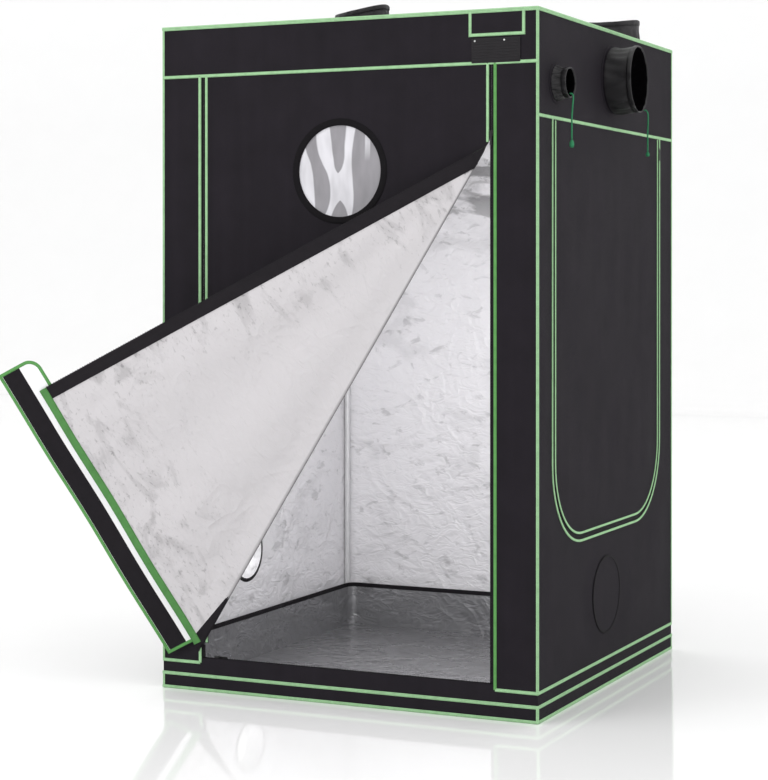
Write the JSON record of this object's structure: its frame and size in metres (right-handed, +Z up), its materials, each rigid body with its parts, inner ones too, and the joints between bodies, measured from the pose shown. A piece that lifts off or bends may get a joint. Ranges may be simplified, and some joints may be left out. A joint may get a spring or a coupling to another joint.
{
  "type": "indoor grow tent",
  "caption": "Square indoor grow tent: a steel tube frame in a dark sewn cover, its zipped front door folded back, with duct ports, a round window, side door and floor tray.",
  "frame": {"origin": "centre of the tent's footprint, on the floor it stands on", "axes": "+X to the right seen from the front, -Y out of the front door, +Z up"},
  "size_m": [1.6709, 1.5827, 2.11],
  "materials": {
    "black_cloth": "matt woven",
    "silver_lining": "crinkled metallic",
    "white_lining": "satin",
    "pale_piping": "matt tape",
    "green_piping": "matt tape",
    "black_tape": "matt tape",
    "clear_film": "clear",
    "frame_paint": "white enamel",
    "fitting_plastic": "matt",
    "slider_metal": "black",
    "cord_green": "braided",
    "net": "open weave"
  },
  "bodies": {
    "tent": {"bottom_rail_front": "frame_paint", "bottom_rail_back": "frame_paint", "bottom_rail_left": "frame_paint", "bottom_rail_right": "frame_paint", "top_rail_front": "frame_paint", "top_rail_back": "frame_paint", "top_rail_left": "frame_paint", "top_rail_right": "frame_paint", "upright_front_left": "frame_paint", "upright_front_right": "frame_paint", "upright_back_left": "frame_paint", "upright_back_right": "frame_paint", "bottom_corner_front_left": "fitting_plastic", "bottom_corner_front_right": "fitting_plastic", "bottom_corner_back_left": "fitting_plastic", "bottom_corner_back_right": "fitting_plastic", "top_corner_front_left": "fitting_plastic", "top_corner_front_right": "fitting_plastic", "top_corner_back_left": "fitting_plastic", "top_corner_back_right": "fitting_plastic", "roof_panel": "black_cloth", "floor_panel": "black_cloth", "front_panel": "black_cloth", "back_panel": "black_cloth", "left_panel": "black_cloth", "right_panel": "black_cloth", "cover_piping": "pale_piping", "foot_piping": "pale_piping", "door_upper": "black_cloth", "window_ring": "black_tape", "window_film": "clear_film", "front_zip_tape": "black_tape", "side_zip_tape": "black_tape", "duct_sleeve": "black_cloth", "cable_sleeve": "black_cloth", "roof_sleeve_left": "black_cloth", "roof_sleeve_right": "black_cloth", "low_port_sleeve": "black_cloth", "vent_net": "net", "label_pocket": "black_tape", "duct_drawcord": "cord_green", "duct_cord_knot": "cord_green", "cable_drawcord": "cord_green", "cable_cord_lock": "cord_green"},
    "folding_door": {"door_flap": "silver_lining", "flap_binding": "green_piping", "flap_zip_tape": "black_tape"},
    "storm_strip": {"storm_flap": "white_lining", "storm_flap_binding": "green_piping"},
    "wall_door": {"side_door": "black_cloth", "side_door_piping": "pale_piping", "side_door_zip_tape": "black_tape"},
    "front_slider": {"front_zip_slider": "slider_metal"},
    "foot_slider": {"foot_zip_slider": "slider_metal"},
    "side_slider": {"side_zip_slider": "slider_metal"},
    "vent_lid": {"vent_cover": "black_cloth"},
    "label_lid": {"label_flap": "black_tape"},
    "front_bar": {"hanging_bar_front": "frame_paint"},
    "back_bar": {"hanging_bar_back": "frame_paint"},
    "tray": {"floor_tray": "silver_lining"}
  },
  "joints": [
    {"name": "door_fold", "type": "hinge", "parent": "tent", "child": "folding_door", "pos_m": [-0.463, -0.6102, 0.125], "axis": [0.5266, 0, 0.8501], "range_deg": [-8, 157]},
    {"name": "storm_strip_hinge", "type": "hinge", "parent": "folding_door", "child": "storm_strip", "pos_m": [-0.62608, -0.75813, 0.53279], "axis": [0.388, 0.3322, -0.8597], "range_deg": [0, 10]},
    {"name": "front_zip", "type": "slide", "parent": "tent", "child": "front_slider", "axis": [0, 0, 1], "range_m": [-1.46, 0.075]},
    {"name": "foot_zip", "type": "slide", "parent": "tent", "child": "foot_slider", "axis": [1, 0, 0], "range_m": [-0.044, 0.84]},
    {"name": "side_zip", "type": "slide", "parent": "tent", "child": "side_slider", "axis": [0, 0, 1], "range_m": [-0.9, 0]},
    {"name": "side_door_hinge", "type": "hinge", "parent": "tent", "child": "wall_door", "pos_m": [0.61, -0.01, 1.6947], "axis": [0, -1, 0], "range_deg": [0, 45]},
    {"name": "vent_cover_hinge", "type": "hinge", "parent": "tent", "child": "vent_lid", "pos_m": [0.6103, -0.04, 0.399], "axis": [0, -1, 0], "range_deg": [0, 90]},
    {"name": "label_flap_hinge", "type": "hinge", "parent": "tent", "child": "label_lid", "pos_m": [0.484, -0.6103, 1.92], "axis": [-1, 0, 0], "range_deg": [0, 90]},
    {"name": "front_bar_slide", "type": "slide", "parent": "tent", "child": "front_bar", "axis": [0, 1, 0], "range_m": [-0.35, 0.18]},
    {"name": "back_bar_slide", "type": "slide", "parent": "tent", "child": "back_bar", "axis": [0, 1, 0], "range_m": [-0.18, 0.35]},
    {"name": "tray_lift", "type": "slide", "parent": "tent", "child": "tray", "axis": [0, 0, 1], "range_m": [0, 0.3]}
  ],
  "couplings": [
    {"joint": "front_zip", "follows": "door_fold", "m_per_rad": -0.532},
    {"joint": "foot_zip", "follows": "door_fold", "m_per_rad": 0.306}
  ]
}
